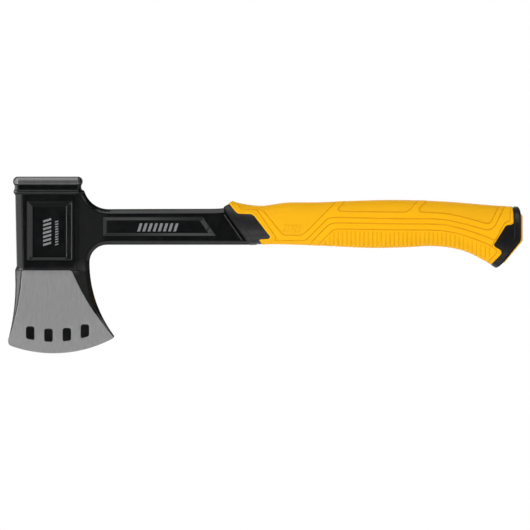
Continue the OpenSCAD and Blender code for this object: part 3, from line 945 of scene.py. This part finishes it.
class Look:
    """A procedural material under construction."""

    def __init__(self, name, colour, roughness, metallic=0.0, **sockets):
        self.material = bpy.data.materials.new(name)
        self.material.use_nodes = True
        self.tree = self.material.node_tree
        self.shader = self.tree.nodes["Principled BSDF"]
        sockets.update({"Base Color": colour, "Roughness": roughness, "Metallic": metallic})
        for socket, value in sockets.items():
            self.shader.inputs[socket].default_value = value
        self.place = self.tree.nodes.new("ShaderNodeTexCoord").outputs["Object"]

    def node(self, kind, links=(), **values):
        made = self.tree.nodes.new("ShaderNode" + kind)
        for key, value in values.items():
            setattr(made, key, value)
        for socket, value in dict(links).items():
            if isinstance(value, bpy.types.NodeSocket):
                self.tree.links.new(value, made.inputs[socket])
            else:
                made.inputs[socket].default_value = value
        return made

    def noise(self, scale, detail=3, stretch=(1, 1, 1)):
        """Noise between 0 and 1; scale counts its waves along a millimetre."""
        mapping = self.node("Mapping", {"Vector": self.place, "Scale": [scale / MM * s for s in stretch]})
        made = self.node("TexNoise", {"Vector": mapping.outputs[0], "Scale": 1.0, "Detail": detail})
        return made.outputs["Fac"]

    def spread(self, value, low, high, start=0.3, end=0.7):
        """The value carried from one range to another."""
        made = self.node("MapRange", {"Value": value, "From Min": start, "From Max": end,
                                      "To Min": low, "To Max": high})
        return made.outputs["Result"]

    def blend(self, factor, a, b):
        """A mix of two colours. The node's colour sockets share their names, so numbers find them."""
        return self.node("Mix", {0: factor, 6: a, 7: b}, data_type="RGBA").outputs[2]

    def attribute(self, name):
        return self.node("Attribute", attribute_name=name).outputs["Fac"]

    def wear(self, socket, value):
        self.tree.links.new(value, self.shader.inputs[socket])

    def bump(self, height, depth):
        """Adds fine relief, its depth in millimetres."""
        made = self.node("Bump", {"Height": height, "Distance": depth * MM})
        before = self.shader.inputs["Normal"].links
        if before:
            self.tree.links.new(before[0].from_socket, made.inputs["Normal"])
        self.wear("Normal", made.outputs[0])


def coated_steel():
    look = Look("satin_black_coat", srgb(6, 7, 8), 0.2, **{"Specular IOR Level": 0.4})
    look.wear("Base Color", look.blend(look.noise(0.05, 3), srgb(4, 5, 6), srgb(8, 9, 10)))
    look.wear("Roughness", look.spread(look.noise(0.12, 4), 0.17, 0.25))
    # Painted shade: the shade mark turns the coat's reflection down along creases and on the frames' slopes.
    look.wear("Specular IOR Level", look.spread(look.attribute("shade"), 0.4, 0.03, 0, 1))
    look.bump(look.noise(0.9, 4), 0.012)
    look.bump(look.noise(0.22, 2), 0.035)
    return look.material


def steel(name, dark, light, roughness):
    """Bare steel, ground along Z."""
    look = Look(name, srgb(light), roughness, 0.9)
    streak = look.noise(4.5, 3, (1, 1, 0.02))
    broad = look.noise(1.1, 3, (1, 1, 0.03))
    look.wear("Base Color", look.blend(look.spread(broad, 0, 1), srgb(dark), srgb(light)))
    look.wear("Roughness", look.spread(streak, roughness - 0.06, roughness + 0.08))
    look.bump(streak, 0.008)
    return look.material


def ground_steel():
    return steel("ground_steel", 132, 142, 0.48)


# A darker, glossier copy of the ground steel: painted shade on the poll's cap.
def poll_steel_painted_shade():
    return steel("poll_steel_painted_shade", 102, 112, 0.36)


def yellow_rubber():
    look = Look("yellow_soft_moulding", srgb(245, 180, 8), 0.62, **{"Specular IOR Level": 0.12})
    base = look.blend(look.noise(0.04, 2), srgb(244, 177, 5), srgb(246, 182, 8))
    base = look.blend(look.attribute("panel"), base, srgb(241, 176, 12))
    # Painted shade: the cover's colour is darker in its grooves and rib valleys, where shade falls.
    look.wear("Base Color", look.blend(look.attribute("groove"), base, srgb(222, 146, 6)))
    look.bump(look.noise(2.6, 3), 0.02)
    return look.material


def black_moulding(name, dark, light, shine):
    look = Look(name, srgb(light), 0.34, **{"Specular IOR Level": shine})
    look.wear("Base Color", look.blend(look.noise(0.08, 3), srgb(dark), srgb(light)))
    look.wear("Roughness", look.spread(look.noise(0.3, 3), 0.3, 0.38))
    # Painted shade: the shade mark turns the reflection down along the open end and round the top and
    # underside.
    look.wear("Specular IOR Level", look.spread(look.attribute("shade"), shine, 0.05, 0, 1))
    look.bump(look.noise(3.0, 3), 0.02)
    return look.material


def core_nylon():
    look = Look("core_nylon", srgb(38, 38, 39), 0.5)
    look.wear("Base Color", look.blend(look.noise(0.06, 3), srgb(35, 35, 36), srgb(41, 41, 42)))
    look.wear("Roughness", look.spread(look.noise(0.3, 3), 0.45, 0.55))
    look.bump(look.noise(2.2, 3), 0.02)
    return look.material


def mark_ink():
    look = Look("grey_mark_ink", srgb(116, 117, 119), 0.6)
    look.wear("Base Color", look.blend(look.noise(1.2, 3), srgb(100, 101, 103), srgb(132, 133, 135)))
    return look.material


def floor_paper():
    look = Look("pale_paper", srgb(247, 247, 248), 0.9)
    look.wear("Base Color", look.blend(look.noise(0.01, 2), srgb(244, 244, 245), srgb(249, 249, 250)))
    return look.material


# ---------------------------------------------------------------- the stage

def softbox(name, energy, place, size, aim=None):
    """A rectangular light, aimed at the axe unless told otherwise."""
    lamp = bpy.data.lights.new(name, "AREA")
    lamp.energy = energy
    lamp.shape = "RECTANGLE"
    lamp.size, lamp.size_y = size
    made = put(name, lamp)
    made.location = place
    made.rotation_euler = (aim or -Vector(place)).to_track_quat("-Z", "Y").to_euler()
    made.visible_camera = False


FLOOR_Z = -0.34
FAR = 8                           # from the camera to the axe
VIEW_WIDTH = 0.3657               # across the picture at the axe


def stage():
    bpy.ops.mesh.primitive_plane_add(size=8, location=(0, 1, FLOOR_Z))
    floor = bpy.context.object
    floor.name = "floor"
    floor.data.materials.append(floor_paper())
    world = bpy.data.worlds.new("studio")
    bpy.context.scene.world = world
    world.use_nodes = True
    nodes, links = world.node_tree.nodes, world.node_tree.links
    dim = nodes["Background"]
    dim.inputs["Color"].default_value = (1, 1, 1, 1)
    dim.inputs["Strength"].default_value = 0.04
    seen = nodes.new("ShaderNodeBackground")
    seen.inputs["Strength"].default_value = 1.0
    seen.inputs["Color"].default_value = (1, 1, 1, 1)
    pick, path = nodes.new("ShaderNodeMixShader"), nodes.new("ShaderNodeLightPath")
    links.new(path.outputs["Is Camera Ray"], pick.inputs[0])
    links.new(dim.outputs[0], pick.inputs[1])
    links.new(seen.outputs[0], pick.inputs[2])
    links.new(pick.outputs[0], nodes["World Output"].inputs["Surface"])
    softbox("top_front", 30, (-0.15, -1.54, 1.84), size=(2.6, 1.5))
    softbox("right_front", 15, (1.7, -1.7, 0.3), size=(1.5, 2.2))
    softbox("left_front", 18, (-2.1, -1.12, 0.15), size=(1.3, 2.2))
    softbox("left_side", 26, (-2.4, 0.08, 0.3), size=(0.8, 1.8))
    softbox("left_strip", 6, (-1.01, -2.17, 0.1), size=(0.18, 1.8))
    softbox("right_strip", 1, (0.62, -2.4, 0.1), size=(0.5, 1.6))
    softbox("low_strip", 3, (0, -0.75, -0.29), size=(1.6, 0.16), aim=Vector((0, 0, 1)))
    softbox("low_panel", 0.28, (-0.1, -0.2, -0.32), size=(0.5, 0.14), aim=Vector((0, 0, 1)))
    softbox("rear_top", 18, (0.3, 1.95, 1.12), size=(2.4, 1.2))
    softbox("rear_right", 16, (1.8, 1.65, 0.3), size=(1.3, 1.8))
    softbox("rear_left", 14, (-1.8, 1.65, 0.9), size=(1.6, 1.8))
    softbox("overhead", 9, (0, 0.4, 2.4), size=(2.6, 1.2))
    camera = bpy.data.cameras.new("camera")
    camera.lens = camera.sensor_width * FAR / VIEW_WIDTH
    camera.clip_end = 20
    made = put("camera", camera)
    made.location = (0, -FAR, 0)
    made.rotation_euler = (math.radians(90), 0, 0)
    bpy.context.scene.camera = made
    bpy.context.scene.view_settings.view_transform = "Standard"


forging()
grip_core()
yellow = yellow_rubber()
grip_cover(yellow)
front_collar()
butt_cap()
butt_bumper(yellow)
marks()
stage()
